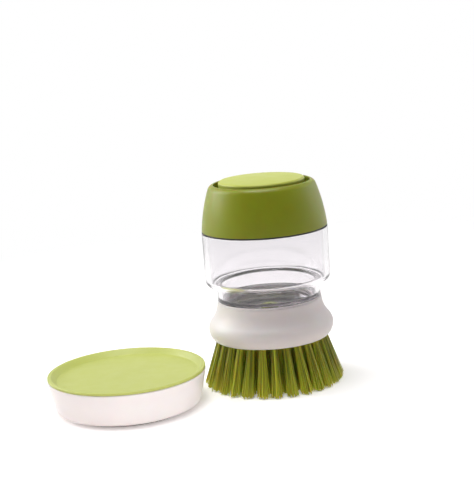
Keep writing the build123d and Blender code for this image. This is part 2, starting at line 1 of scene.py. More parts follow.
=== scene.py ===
# %% [markdown]
# # A palm brush with a soap reservoir, and its stand
#
# This lesson dresses a imported CAD model for its picture. The CAD model already has every part in its
# place and knows how the parts move. What it lacks is looks: fine smooth shells, bristles as many and
# as thin as real ones, and surfaces that take light as moulded plastic, nylon and silicone do.
#
# The first cell loads the CAD model as a fixed frame, with each part's place baked into its mesh.

# %% Load the frame
import math

import bpy
from mathutils import Euler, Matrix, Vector


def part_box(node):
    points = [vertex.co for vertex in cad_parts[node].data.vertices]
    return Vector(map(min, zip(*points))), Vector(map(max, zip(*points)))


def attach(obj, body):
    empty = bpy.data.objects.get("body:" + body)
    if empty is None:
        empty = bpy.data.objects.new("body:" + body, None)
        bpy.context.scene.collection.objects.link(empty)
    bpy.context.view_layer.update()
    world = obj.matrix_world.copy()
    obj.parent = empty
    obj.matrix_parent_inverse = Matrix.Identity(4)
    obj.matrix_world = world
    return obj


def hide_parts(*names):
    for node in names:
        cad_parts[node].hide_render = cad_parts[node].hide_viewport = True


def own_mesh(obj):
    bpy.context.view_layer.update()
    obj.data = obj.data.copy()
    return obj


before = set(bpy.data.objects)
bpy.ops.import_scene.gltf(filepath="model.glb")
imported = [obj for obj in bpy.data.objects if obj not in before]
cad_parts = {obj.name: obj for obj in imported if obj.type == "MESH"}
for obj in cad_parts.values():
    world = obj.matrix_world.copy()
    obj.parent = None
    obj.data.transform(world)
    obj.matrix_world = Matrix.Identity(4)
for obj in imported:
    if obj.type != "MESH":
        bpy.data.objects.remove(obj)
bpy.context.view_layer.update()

# %% [markdown]
# Sizes are written in millimetres, as on a drawing, and Blender works in metres, so one factor turns
# the first into the second. Colours are written as the hex values that a picture shows. Blender mixes
# light in linear values, so one function turns hex into those.

# %% Units and colours
MM = 0.001


def colour(hex_value):
    """Turns an sRGB hex value, such as "#a5ab52", into Blender's linear red, green, blue, alpha."""
    shares = [int(hex_value[k:k + 2], 16) / 255 for k in (1, 3, 5)]
    return (*[v / 12.92 if v <= 0.04045 else ((v + 0.055) / 1.055) ** 2.4 for v in shares], 1)


print("mid grey in linear light:", [round(v, 3) for v in colour("#808080")])

# %% [markdown]
# Materials and Geometry Nodes are both trees of nodes. One small function adds a node to either kind:
# it sets the node's own settings, and then each input, to a value or to another node's output.

# %% Add a node
def add(tree, kind, sockets=None, **settings):
    """Adds a node. Sockets maps an input's name or number to a value or to another node's output."""
    node = tree.nodes.new(kind)
    for name, value in settings.items():
        setattr(node, name, value)
    for socket, value in (sockets or {}).items():
        if isinstance(value, bpy.types.NodeSocket):
            tree.links.new(value, node.inputs[socket])
        else:
            node.inputs[socket].default_value = value
    return node


# %% [markdown]
# ## The camera
#
# The photograph looks a little down on the brush, from about 0.6 m away, and the brush leans in it. So
# the camera is pitched down and rolled instead, because here the brush stands straight on its
# bristles. These numbers come from fitting the ellipses of the rim, the seam and the neck.

# %% Camera
CAMERA_PLACE = (-0.01368, -0.61764, 0.18986)
CAMERA_PITCH = math.radians(10.935)
CAMERA_ROLL = math.radians(4.268)

camera = bpy.data.objects.new("camera", bpy.data.cameras.new("camera"))
camera.data.lens = 97.095
camera.data.sensor_width = 36
camera.location = CAMERA_PLACE
upright = Euler((math.pi / 2 - CAMERA_PITCH, 0, 0)).to_matrix()
camera.rotation_euler = (upright @ Euler((0, 0, -CAMERA_ROLL)).to_matrix()).to_euler()
bpy.context.scene.collection.objects.link(camera)
bpy.context.scene.camera = camera
print("camera", round(camera.location.length, 3), "m from the brush's foot")

# %% [markdown]
# ## Light and floor
#
# How the photograph was lit isn't known. Its shading is matched by a large soft lamp at the upper left,
# another above, a weak one at the right, and white all round. Lamps this large give shadows with soft
# edges. The brush's left and top are bright and its front is fairly dark, so none stands at its front.
# The strengths started from a fit: one render for each lamp, and the mix of them that came closest to
# the photograph's brightness at 33 places. They were then changed a little.

# %% Lamps
scene = bpy.context.scene
scene.view_settings.view_transform = "Standard"

BRUSH_MIDDLE = (0, 0, 0.05)
# Each lamp's place and aim, the width of its square in metres, and its watts.
LAMPS = {
    "key_left": ((-1.0, 0.38, 0.62), BRUSH_MIDDLE, 0.8, 9.6),
    "soft_right": ((1.0, 0.50, 0.50), BRUSH_MIDDLE, 0.8, 1.6),
    "top_soft": ((-0.05, -0.08, 1.28), BRUSH_MIDDLE, 0.7, 12.0),
}


def soft_lamp(name, place, target, size, watts):
    """A square area lamp at a place, turned to its target."""
    lamp = bpy.data.objects.new(name, bpy.data.lights.new(name, "AREA"))
    lamp.data.size = size
    lamp.data.energy = watts
    lamp.location = place
    lamp.rotation_euler = (Vector(target) - lamp.location).to_track_quat("-Z", "Y").to_euler()
    scene.collection.objects.link(lamp)
    return lamp


for name, values in LAMPS.items():
    soft_lamp(name, *values)
print("lamps:", list(LAMPS))

# %% [markdown]
# With these lamps the stand's side comes out darker than it is in the photograph, and what lights it
# there can't be seen. One more lamp makes up for it. It is linked to a collection, so that it lights
# only the stand's pieces, which are put in there later. No real lamp can do that.

# %% The stand's own lamp
FILL_TARGET = (-0.07, -0.025, 0.01)
stand_fill = soft_lamp("stand_fill", (0.35, -0.93, 0.26), FILL_TARGET, 0.8, 6.9)
stand_fill.visible_glossy = False
lit_by_fill = bpy.data.collections.new("lit_by_stand_fill")
stand_fill.light_linking.receiver_collection = lit_by_fill
print("stand fill lights the collection:", lit_by_fill.name)

# %% [markdown]
# The background has to be white while the lamps stay at a plain level. So the world looks white to the
# camera and through clear plastic, but lights the object with only a little light of its own. A Light
# Path node tells the kinds of ray apart.
#
# Glossy reflections get a third view of the world. If they showed white all round, a thin white veil
# would lie over every green piece, and its colour would look chalky, which it doesn't in the
# photograph. So the world that reflections see grows darker upwards, and towards the camera's side.
# The height and the depth of a direction run from -1 to 1.

# %% World
SKY_LEVEL = 0.05
CEILING_FROM, CEILING_TO, CEILING_LEVEL = 0.30, 0.65, 0.35
ROOM_FROM, ROOM_TO, ROOM_LEVEL = -0.75, 0.0, 0.15


def white_to_the_eye(tree):
    """A factor that is 1 for rays from the camera, a reflection or clear plastic, and 0 for light."""
    path = add(tree, "ShaderNodeLightPath")
    gloss = add(tree, "ShaderNodeMath", {0: path.outputs["Is Camera Ray"],
                                         1: path.outputs["Is Glossy Ray"]}, operation="MAXIMUM")
    return add(tree, "ShaderNodeMath", {0: gloss.outputs[0],
                                        1: path.outputs["Is Transmission Ray"]},
               operation="MAXIMUM").outputs[0]


world = bpy.data.worlds.new("white_studio")
world.use_nodes = True
world.node_tree.nodes.clear()
sky = add(world.node_tree, "ShaderNodeBackground", {"Color": colour("#fff4f1"),
                                                    "Strength": SKY_LEVEL})
towards = add(world.node_tree, "ShaderNodeSeparateXYZ",
              {0: add(world.node_tree, "ShaderNodeTexCoord").outputs["Generated"]})
ceiling = add(world.node_tree, "ShaderNodeMapRange", {
    "Value": towards.outputs["Z"], "From Min": CEILING_FROM, "From Max": CEILING_TO, "To Min": 1.0,
    "To Max": CEILING_LEVEL}, interpolation_type="SMOOTHSTEP").outputs["Result"]
room = add(world.node_tree, "ShaderNodeMapRange", {
    "Value": towards.outputs["Y"], "From Min": ROOM_FROM, "From Max": ROOM_TO, "To Min": ROOM_LEVEL,
    "To Max": 1.0}, interpolation_type="SMOOTHSTEP").outputs["Result"]
path = add(world.node_tree, "ShaderNodeLightPath")
studio = add(world.node_tree, "ShaderNodeMath", {0: ceiling, 1: room}, operation="MULTIPLY")
mirrored = add(world.node_tree, "ShaderNodeMix", {"Factor": path.outputs["Is Glossy Ray"], 2: 1.0,
                                                  3: studio.outputs[0]}).outputs[0]
seen_level = add(world.node_tree, "ShaderNodeMix", {"Factor": path.outputs["Is Camera Ray"],
                                                    2: mirrored, 3: 1.0}).outputs[0]
backdrop = add(world.node_tree, "ShaderNodeBackground", {"Color": colour("#ffffff"),
                                                         "Strength": seen_level})
both = add(world.node_tree, "ShaderNodeMixShader", {0: white_to_the_eye(world.node_tree),
                                                    1: sky.outputs[0], 2: backdrop.outputs[0]})
add(world.node_tree, "ShaderNodeOutputWorld", {"Surface": both.outputs[0]})
scene.world = world
scene.cycles.max_bounces = 24
scene.cycles.diffuse_bounces = 10
scene.cycles.transmission_bounces = 24
print("world nodes:", len(world.node_tree.nodes))

# %% [markdown]
# Light that has bounced off the floor and between the filaments matters here, so light may bounce ten
# times. The clear walls are many surfaces deep, so rays may pass 24 of them.
#
# The floor is a sheet of white paper. Near the object it is partly real paper, which keeps the shadow,
# and partly white of its own. Further off it is all white, so that no edge or horizon shows. The paper
# looks lighter than paper can be, because the floor is pure white in the photograph. The light that it
# gives back to the object is that of plain paper, with a little glow for the lit room round it.

# %% Floor
FLOOR_HALF = 3.0
EVEN_FROM, EVEN_TO = 0.16, 0.42
NEAR_WHITE_SHARE = 0.25
SEEN_PAPER = (1.40, 1.38, 1.38, 1)
GLOW_LEVEL = 0.21

floor = bpy.data.objects.new("floor", bpy.data.meshes.new("floor"))
floor.data.from_pydata([(x * FLOOR_HALF, y * FLOOR_HALF, 0)
                        for x, y in ((-1, -1), (1, -1), (1, 1), (-1, 1))], [], [(0, 1, 2, 3)])
scene.collection.objects.link(floor)

paper = bpy.data.materials.new("white_paper")
paper.use_nodes = True
tree = paper.node_tree
tree.nodes.clear()
place = add(tree, "ShaderNodeTexCoord")
from_middle = add(tree, "ShaderNodeVectorMath", {0: place.outputs["Object"]}, operation="LENGTH")
white_share = add(tree, "ShaderNodeMapRange", {
    "Value": from_middle.outputs["Value"], "From Min": EVEN_FROM, "From Max": EVEN_TO,
    "To Min": NEAR_WHITE_SHARE, "To Max": 1.0}, interpolation_type="SMOOTHSTEP")
lit_paper = add(tree, "ShaderNodeBsdfDiffuse", {"Color": SEEN_PAPER})
own_white = add(tree, "ShaderNodeEmission", {"Color": colour("#ffffff"), "Strength": 1})
seen = add(tree, "ShaderNodeMixShader", {0: white_share.outputs["Result"],
                                         1: lit_paper.outputs[0], 2: own_white.outputs[0]})
bounce = add(tree, "ShaderNodeBsdfDiffuse", {"Color": colour("#efe7e5")})
glow = add(tree, "ShaderNodeEmission", {"Color": colour("#fff6f3"), "Strength": GLOW_LEVEL})
given_back = add(tree, "ShaderNodeAddShader", {0: bounce.outputs[0], 1: glow.outputs[0]})
choice = add(tree, "ShaderNodeMixShader", {0: white_to_the_eye(tree),
                                           1: given_back.outputs[0], 2: seen.outputs[0]})
add(tree, "ShaderNodeOutputMaterial", {"Surface": choice.outputs[0]})
floor.data.materials.append(paper)
print("floor", 2 * FLOOR_HALF, "m wide")

# %% [markdown]
# ## Plastics
#
# Most of this product is injection moulded. Moulded plastic is never one flat colour: the melt cools
# unevenly, so its colour drifts a little over centimetres, the steel mould leaves a fine grain that
# softens its gloss, and hands polish it in patches. One function builds that from sizes in
# millimetres, and each plastic calls it with its own values.

# %% A moulded plastic
def moulded(name, pale, deep, roughness, grain, grain_depth, ior=1.5, drift=16, **sockets):
    """Colour drifts from pale to deep over drift mm; grain and its depth are in mm too."""
    made = bpy.data.materials.new(name)
    made.use_nodes = True
    tree = made.node_tree
    shader = tree.nodes["Principled BSDF"]
    place = add(tree, "ShaderNodeTexCoord").outputs["Object"]
    cooling = add(tree, "ShaderNodeTexNoise", {"Vector": place, "Scale": 1 / (drift * MM),
                                               "Detail": 3})
    mixed = add(tree, "ShaderNodeMix", {"Factor": cooling.outputs["Fac"], 6: colour(pale),
                                        7: colour(deep)}, data_type="RGBA")
    handled = add(tree, "ShaderNodeTexNoise", {"Vector": place, "Scale": 2.3 / (drift * MM),
                                               "Detail": 5, "Roughness": 0.65})
    gloss = add(tree, "ShaderNodeMapRange", {"Value": handled.outputs["Fac"],
                                             "From Min": 0.3, "From Max": 0.7,
                                             "To Min": roughness - 0.05,
                                             "To Max": roughness + 0.06})
    mould_grain = add(tree, "ShaderNodeTexNoise", {"Vector": place, "Scale": 1 / (grain * MM),
                                                   "Detail": 2})
    bump = add(tree, "ShaderNodeBump", {"Height": mould_grain.outputs["Fac"],
                                        "Distance": grain_depth * MM, "Strength": 1})
    tree.links.new(mixed.outputs[2], shader.inputs["Base Color"])
    tree.links.new(gloss.outputs["Result"], shader.inputs["Roughness"])
    tree.links.new(bump.outputs["Normal"], shader.inputs["Normal"])
    shader.inputs["IOR"].default_value = ior
    for socket, value in sockets.items():
        shader.inputs[socket.replace("_", " ")].default_value = value
    return made


# %% [markdown]
# - Polypropylene: moulded in a lightly blasted steel mould. Satin and a little milky, since light
#   enters it before it comes back.
# - Thermoplastic elastomer, the soft skin of the cap: moulded in a spark-eroded mould, whose fine pits
#   take away its gloss. The pits are 0.1 mm wide; they are drawn at 0.35 mm, so that they show.
# - Acetal and clear silicone are the hidden working parts: waxy, and milky white.
# - Silicone rubber takes a smooth, slightly greasy gloss, and the seal under the cap is nearly black.

# %% The plastics
white_polypropylene = moulded("white_polypropylene", "#f3efee", "#ebe6e5", 0.38, 0.5, 0.006,
                              ior=1.49, Subsurface_Weight=0.12, Subsurface_Scale=0.002)
soft_elastomer = moulded("green_soft_elastomer", "#909a1b", "#889217", 0.38, 0.35, 0.014,
                         Specular_IOR_Level=0.4, Subsurface_Weight=0.5,
                         Subsurface_Scale=0.002)
green_polypropylene = moulded("green_polypropylene", "#c4cc58", "#bcc450", 0.42, 0.5, 0.006,
                              ior=1.49)
pale_tray_plastic = moulded("pale_green_polypropylene", "#bbc269", "#b3ba61", 0.42, 0.5, 0.006,
                            ior=1.49)
acetal = moulded("natural_acetal", "#e6e6df", "#dedfd6", 0.35, 0.6, 0.004, ior=1.48)
green_silicone = moulded("green_silicone", "#8f9a1c", "#848f18", 0.3, 0.8, 0.004, ior=1.41)
clear_silicone = moulded("milky_silicone", "#dcdedd", "#d2d5d4", 0.32, 0.8, 0.004, ior=1.41,
                         Transmission_Weight=0.35)
dark_rubber = moulded("dark_rubber", "#35382f", "#2b2e27", 0.55, 0.4, 0.008, ior=1.52)
plastics = [white_polypropylene, soft_elastomer, green_polypropylene, pale_tray_plastic, acetal,
            green_silicone, clear_silicone, dark_rubber]
print("moulded materials:", [plastic.name for plastic in plastics])

# %% [markdown]
# The reservoir is clear copolyester, polished in the mould. It is a little wavy where the melt flowed
# together, and washing up leaves hair-thin scratches. Both are far too slight to see as such, but they
# break up the reflections, so a faint wide ripple and fine stretched streaks go into its normals.
#
# Clear ware against white shows as dark lines at its edges, where the eye looks along the wall. Here
# much of that grey is painted shade: the plastic's colour is nearly white face on, and painted grey at
# a steep slant, for the darker room that such edges show. Rays that look for a lamp pass straight
# through, or the wall would cast the black shadow of a solid thing.

# %% The clear plastic
clear_copolyester = bpy.data.materials.new("clear_copolyester")
clear_copolyester.use_nodes = True
tree = clear_copolyester.node_tree
shader = tree.nodes["Principled BSDF"]
place = add(tree, "ShaderNodeTexCoord").outputs["Object"]
flow = add(tree, "ShaderNodeTexNoise", {"Vector": place, "Scale": 1 / (14 * MM), "Detail": 1})
lengthwise = add(tree, "ShaderNodeMapping", {"Vector": place, "Scale": (1, 1, 0.12)})
scratches = add(tree, "ShaderNodeTexNoise", {"Vector": lengthwise.outputs[0],
                                             "Scale": 1 / (0.8 * MM), "Detail": 2})
wave = add(tree, "ShaderNodeBump", {"Height": flow.outputs["Fac"], "Distance": 0.10 * MM,
                                    "Strength": 1})
fine = add(tree, "ShaderNodeBump", {"Height": scratches.outputs["Fac"],
                                    "Distance": 0.0012 * MM, "Strength": 1,
                                    "Normal": wave.outputs["Normal"]})
tree.links.new(fine.outputs["Normal"], shader.inputs["Normal"])
for socket, value in {"Roughness": 0.02, "IOR": 1.54, "Transmission Weight": 1.0}.items():
    shader.inputs[socket].default_value = value
# Painted shade: the colour turns grey where a wall is seen at a steep slant, for the dark lines at its
# edges.
slant = add(tree, "ShaderNodeLayerWeight", {"Blend": 0.5}).outputs["Facing"]
painted_edge_share = add(tree, "ShaderNodeMapRange", {"Value": slant, "From Min": 0.78, "From Max": 0.96,
                                              "To Min": 0.0, "To Max": 1.0},
                 interpolation_type="SMOOTHSTEP")
tint_and_painted_edges = add(tree, "ShaderNodeMix", {"Factor": painted_edge_share.outputs["Result"], 6: colour("#f2f0f2"),
                                   7: colour("#8c898b")}, data_type="RGBA")
tree.links.new(tint_and_painted_edges.outputs[2], shader.inputs["Base Color"])
lamp_ray = add(tree, "ShaderNodeLightPath").outputs["Is Shadow Ray"]
let_through = add(tree, "ShaderNodeBsdfTransparent", {"Color": colour("#efecee")})
either = add(tree, "ShaderNodeMixShader", {0: lamp_ray, 1: shader.outputs[0],
                                           2: let_through.outputs[0]})
tree.links.new(either.outputs[0], tree.nodes["Material Output"].inputs["Surface"])
print("reservoir material:", clear_copolyester.name)

# %% [markdown]
# Spring and clip are drawn stainless wire: bright, with fine lines along the wire that spread its
# highlights. The staples in the bristle holes are galvanised and duller.

# %% Wire
def drawn_wire(name, pale, deep, roughness):
    """Bright metal whose tone varies in streaks 0.2 mm wide."""
    made = bpy.data.materials.new(name)
    made.use_nodes = True
    tree = made.node_tree
    shader = tree.nodes["Principled BSDF"]
    place = add(tree, "ShaderNodeTexCoord").outputs["Object"]
    streaks = add(tree, "ShaderNodeTexNoise", {"Vector": place, "Scale": 1 / (0.2 * MM)})
    tone = add(tree, "ShaderNodeMix", {"Factor": streaks.outputs["Fac"], 6: colour(pale),
                                       7: colour(deep)}, data_type="RGBA")
    gloss = add(tree, "ShaderNodeMapRange", {"Value": streaks.outputs["Fac"],
                                             "To Min": roughness - 0.08,
                                             "To Max": roughness + 0.08})
    tree.links.new(tone.outputs[2], shader.inputs["Base Color"])
    tree.links.new(gloss.outputs["Result"], shader.inputs["Roughness"])
    shader.inputs["Metallic"].default_value = 1
    return made


stainless_wire = drawn_wire("drawn_stainless_wire", "#d8d8d6", "#b9b9b8", 0.22)
galvanised_wire = drawn_wire("galvanised_wire", "#c3c4c2", "#9fa09e", 0.42)
print("wire materials:", stainless_wire.name, galvanised_wire.name)

# %% [markdown]
# ## Turned shells
#
# All the large parts are round, so a lathe is the right tool: an outline is drawn as half of a cut
# through the part, and spun round its axis. Real mouldings have no knife-sharp corner, so each corner
# of an outline has its rounding, and one with none still gets a tenth of a millimetre. A point close
# to each end of a rounding keeps the flats beside it flat when the shading is smooth.
#
# Where an outline is put together from stretches, each stretch starts and ends with a helper corner
# that only gives a direction, and a slice cuts its points off. The number of points at a corner
# depends on its angle, and these slices don't follow that: the outlines of the reservoir and the head
# double back a little at such joins, and the cap's has one point twice. A function that left out its
# helper corners itself would be the better way.

# %% Round an outline's corners
LEAST_ROUNDING = 0.1
FLAT_KEEP = 0.15
STRAIGHT_HALF = math.radians(87)
LARGE_ROUNDING, FINE_STEP, COARSE_STEP = 1, math.radians(6), math.radians(18)


def rounded(corners):
    """An outline's points in mm, from corners (radius, height, rounding). Those on the axis stay."""
    places = [Vector(corner[:2]) for corner in corners]
    halves, wanted = [], []
    for k, here in enumerate(places):
        after = places[(k + 1) % len(places)]
        halves.append((places[k - 1] - here).angle(after - here) / 2)
        kept_sharp = here.x == 0 or halves[k] > STRAIGHT_HALF
        wanted.append(0 if kept_sharp
                      else max(corners[k][2], LEAST_ROUNDING) / math.tan(halves[k]))
    points = []
    for k, here in enumerate(places):
        if not wanted[k]:
            points.append(here)
            continue
        # Two corners that want more of the line between them than there is share it out.
        onward = (k + 1) % len(places)
        before, after = places[k - 1] - here, places[onward] - here
        reach = min(wanted[k],
                    before.length * wanted[k] / (wanted[k] + wanted[k - 1]) / (1 + FLAT_KEEP),
                    after.length * wanted[k] / (wanted[k] + wanted[onward]) / (1 + FLAT_KEEP))
        half, rounding = halves[k], reach * math.tan(halves[k])
        before.normalize()
        after.normalize()
        middle = here + (before + after).normalized() * rounding / math.sin(half)
        first, last = here + before * reach, here + after * reach
        step = FINE_STEP if rounding > LARGE_ROUNDING else COARSE_STEP
        steps = max(3, math.ceil((math.pi - 2 * half) / step))
        turn = (first - middle).angle_signed(last - middle)
        points.append(first + before * FLAT_KEEP * reach)
        for n in range(steps + 1):
            spoke = (first - middle).copy()
            angle = -turn * n / steps
            points.append(middle + Vector((spoke.x * math.cos(angle) - spoke.y * math.sin(angle),
                                           spoke.x * math.sin(angle) + spoke.y * math.cos(angle))))
        points.append(last + after * FLAT_KEEP * reach)
    return points


print("a rounded square has", len(rounded([(1, 0, 0), (2, 0, 0), (2, 1, 0), (1, 1, 0)])), "points")

# %% [markdown]
# The lathe itself: the outline goes round counter-clockwise, bottom outwards and outside upwards, so
# that every face points out of the material. A ridge function may add to the radius at a height and an
# angle, which is how a screw thread comes out of the same mesh.

# %% The lathe
def turned(name, outline, centre=(0, 0), slices=240, ridge=None):
    """A closed mesh from an outline in mm, spun round an upright axis at centre, also in mm."""
    points, rows = [], []
    for radius, height in outline:
        if radius == 0:
            rows.append([len(points)] * slices)
            points.append((centre[0] * MM, centre[1] * MM, height * MM))
            continue
        rows.append(range(len(points), len(points) + slices))
        for k in range(slices):
            angle = 2 * math.pi * k / slices
            reach = radius + (ridge(radius, height, angle) if ridge else 0)
            points.append(((centre[0] + reach * math.cos(angle)) * MM,
                           (centre[1] + reach * math.sin(angle)) * MM, height * MM))
    pairs = list(zip(rows, rows[1:]))
    if outline[0][0] > 0:
        pairs.append((rows[-1], rows[0]))
    faces = []
    for low, high in pairs:
        for k in range(slices):
            n = (k + 1) % slices
            corners = dict.fromkeys((low[k], low[n], high[n], high[k]))
            if len(corners) > 2:
                faces.append(list(corners))
    mesh = bpy.data.meshes.new(name)
    mesh.from_pydata(points, [], faces)
    mesh.shade_smooth()
    piece = bpy.data.objects.new(name, mesh)
    scene.collection.objects.link(piece)
    print(name, "faces:", len(faces))
    return piece


def settle(piece, body, finish, slot, *nodes):
    """Gives a piece its finish and its place: the body it rides on and the CAD nodes it stands for."""
    piece.data.materials.append(finish)
    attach(piece, body)
    if nodes:
        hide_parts(*nodes)


# %% [markdown]
# The thread joins the reservoir to the head. It doesn't show in the photograph, so it follows the CAD
# model: two starts, 8 mm of climb in a turn, and a flat-topped ridge that fades in and out at its
# ends. On the reservoir it stands out from the spigot, and in the head it stands in from the socket,
# half a pitch away, with 0.3 mm to spare.

# %% The screw thread
THREAD_LEAD, THREAD_STARTS, THREAD_HEIGHT = 8.0, 2, 1.1
RIDGE_FOOT_HALF, RIDGE_TOP_HALF = 0.82, 0.45
FADE_ANGLE = math.radians(14)


def thread(wall_radius, low, high, first_angle, height):
    """A ridge function: the thread on a wall, from height low to height high."""
    def ridge(radius, level, angle):
        if abs(radius - wall_radius) > 0.01 or not low - 1 < level < high + 1:
            return 0
        most = 0
        whole_turn = (high - low) / THREAD_LEAD * 2 * math.pi
        for start in range(THREAD_STARTS):
            turned_by = (angle - first_angle - start * 2 * math.pi / THREAD_STARTS) % (2 * math.pi)
            if turned_by > whole_turn:
                continue
            middle = low + turned_by / (2 * math.pi) * THREAD_LEAD
            slope = (RIDGE_FOOT_HALF - abs(level - middle)) / (RIDGE_FOOT_HALF - RIDGE_TOP_HALF)
            fade = min(1, turned_by / FADE_ANGLE, (whole_turn - turned_by) / FADE_ANGLE)
            most = max(most, min(1, max(0, slope)) * fade)
        return most * height
    return ridge


def wall(radius, low, high, step=0.2):
    """Closely spaced points of an upright wall, fine enough for a thread to show on it."""
    count = math.ceil(abs(high - low) / step)
    return [Vector((radius, low + (high - low) * k / count)) for k in range(count + 1)]


# %% [markdown]
# ## The reservoir
#
# A thick clear barrel over a lower neck. The walls are modelled with both faces, since the path
# through the plastic makes part of the dark lines of clear ware: at the edges of the barrel, at the
# inner floor's rim, and round the shoulder. The rest of their grey is painted shade in the clear
# plastic's colour, where a wall is seen at a slant.

# %% Reservoir
reservoir_outline = (
    rounded([(20.4, 42.2, 0.4), (20.4, 34.1, 0), (22.7, 34.1, 0.3), (22.7, 36, 0)])[3:-1]
    + wall(22.7, 34.6, 41.9)
    + rounded([(22.7, 40, 0), (22.7, 42.15, 0), (25.2, 42.15, 0.3), (25.2, 49.5, 0.5),
               (30.5, 50.0, 2.8), (30.5, 76.0, 0.25), (28.7, 76.0, 0), (28.7, 77.2, 0),
               (29.0, 77.8, 0), (28.7, 78.4, 0), (28.7, 79.6, 0.25), (27.7, 79.6, 0.25),
               (27.7, 51.2, 1.8), (22.9, 51.2, 0.4), (22.9, 43.9, 0.4), (20.4, 42.2, 0.4),
               (20.4, 36, 0)])[6:-6]
)
reservoir = turned("reservoir_shell", reservoir_outline,
                   ridge=thread(22.7, 35.65, 40.6, 0, THREAD_HEIGHT))
settle(reservoir, "bottle", clear_copolyester, "clear_plastic", "reservoir")

# %% [markdown]
# ## The head
#
# White polypropylene in a soft bulge under a waist: two arcs that meet smoothly. Inside is the
# threaded socket that the reservoir screws into, with the valve's hole in its floor.

# %% Head
BULGE_MIDDLE, BULGE_RADIUS = Vector((23.9, 28.0)), 6.6
WAIST_MIDDLE, WAIST_RADIUS = Vector((40.78, 42.0)), 15.33


def arc(middle, radius, first, last, steps):
    """Points on an arc between two angles in degrees."""
    angles = [math.radians(first + (last - first) * k / steps) for k in range(steps + 1)]
    return [middle + radius * Vector((math.cos(a), math.sin(a))) for a in angles]


meeting = math.degrees(math.atan2(*(WAIST_MIDDLE - BULGE_MIDDLE).yx))
foot = -math.degrees(math.asin((BULGE_MIDDLE.y - 22.6) / BULGE_RADIUS))
head_side = (arc(BULGE_MIDDLE, BULGE_RADIUS, foot, meeting, 26)[1:]
             + arc(WAIST_MIDDLE, WAIST_RADIUS, 180 + meeting, 180, 20)[1:-1])
head_inside = rounded([(25.47, 41, 0), (25.45, 42.0, 0.4), (24.1, 42.0, 0.4), (24.1, 40, 0)])[2:-3]
head_under = rounded([(24.1, 36, 0), (24.1, 32.3, 0.3), (3.0, 32.3, 0.2), (3.0, 30.1, 0),
                      (27.05, 30.1, 0), (27.05, 22.6, 0), tuple(head_side[0]) + (0,),
                      tuple(head_side[2]) + (0,)])[5:-5]
head = turned("head_shell", head_side + head_inside + wall(24.1, 41.4, 32.8) + head_under,
              ridge=thread(24.1, 34.05, 40.45, -math.radians(162), -THREAD_HEIGHT))
settle(head, "brush_head", white_polypropylene, "white_plastic", "head_collar")

# %% [markdown]
# ## The cap and its button
#
# The cap's side is one long arc. At the top a small arc takes over and turns in to the rim of a well.
# Its middle is found from the long arc, so that the two meet without a kink. The button sits in the
# well with a narrow dark gap all round, its dome just proud of the rim. Both meshes are closed, with
# their undersides and the cap's guide tube too.

# %% Cap
CAP_ARC_RADIUS = 83.0
cap_foot, cap_top = Vector((30.35, 76.7)), Vector((27.25, 92.9))
half_chord = (cap_top - cap_foot).length / 2
inward = Vector((-(cap_top - cap_foot).y, (cap_top - cap_foot).x)).normalized()
cap_middle = (cap_foot + cap_top) / 2 + inward * math.sqrt(CAP_ARC_RADIUS**2 - half_chord**2)
foot_angle = math.degrees(math.atan2(*(cap_foot - cap_middle).yx))

RIM_TOP, CROWN_RADIUS, WELL_RADIUS = 98.8, 3.2, 23.3
LIP_ROUNDING, WELL_DRAFT = 0.4, 0.5
crown_height = RIM_TOP - CROWN_RADIUS
crown_middle = Vector((cap_middle.x + math.sqrt((CAP_ARC_RADIUS - CROWN_RADIUS) ** 2
                                                - (crown_height - cap_middle.y) ** 2), crown_height))
join_angle = math.degrees(math.atan2(*(crown_middle - cap_middle).yx))
rim_angle = math.degrees(math.acos((WELL_RADIUS + LIP_ROUNDING - crown_middle.x)
                                    / CROWN_RADIUS))
cap_side = arc(cap_middle, CAP_ARC_RADIUS, foot_angle, join_angle, 16)
crown = arc(crown_middle, CROWN_RADIUS, join_angle, rim_angle, 14)


def side_at(height):
    """The cap's outside radius at a height on its long arc."""
    return cap_middle.x + math.sqrt(CAP_ARC_RADIUS**2 - (height - cap_middle.y) ** 2)


cap_rest = rounded([
    tuple(crown[-1]) + (0,), (WELL_RADIUS, crown[-1].y, LIP_ROUNDING),
    (WELL_RADIUS - WELL_DRAFT, 94.2, 0.8),
    (12.6, 94.2, 0.2), (12.6, 85.0, 0.2), (7.7, 85.0, 0), (7.7, 94.0, 0.2), (6.1, 94.0, 0.2),
    (6.1, 83.4, 0), (14.1, 83.4, 0.3), (14.1, 92.4, 0), (side_at(92.4) - 2.4, 92.4, 0),
    (side_at(80.8) - 2.4, 80.8, 0), (28.8, 80.8, 0), (28.8, 78.5, 0), (29.1, 77.8, 0),
    (28.8, 77.1, 0), (28.8, 76.7, 0), (30.35, 76.7, 0), tuple(cap_side[2]) + (0,)])
cap = turned("cap_shell", cap_side[1:] + crown[1:-1] + cap_rest[6:-6])
settle(cap, "bottle", soft_elastomer, "green_soft_plastic", "grip_cap")

# %% Button
DOME_EDGE, DOME_RISE, BUTTON_RADIUS = 100.1, 0.9, 20.8
dome_radius = (BUTTON_RADIUS**2 + DOME_RISE**2) / (2 * DOME_RISE)
dome = [(r, DOME_EDGE + DOME_RISE - dome_radius + math.sqrt(dome_radius**2 - r**2), 0)
        for r in (18, 15, 12, 9, 6, 3, 0)]
button = turned("button_shell", rounded([
    (0, 91.6, 0), (3.4, 91.6, 0.3), (3.4, 98.6, 0), (19.3, 98.6, 0.3), (19.3, 97.6, 0),
    (20.8, 97.6, 0.2), (20.8, DOME_EDGE, 1.1)] + dome))
settle(button, "button", green_polypropylene, "green_soft_plastic", "push_button")

# %% [markdown]
# ## The stand
#
# A shallow white dish on a rubber ring, with a green tray let into its mouth. The tray's rim is raised
# and rounded, and it catches a bright line of light all round.

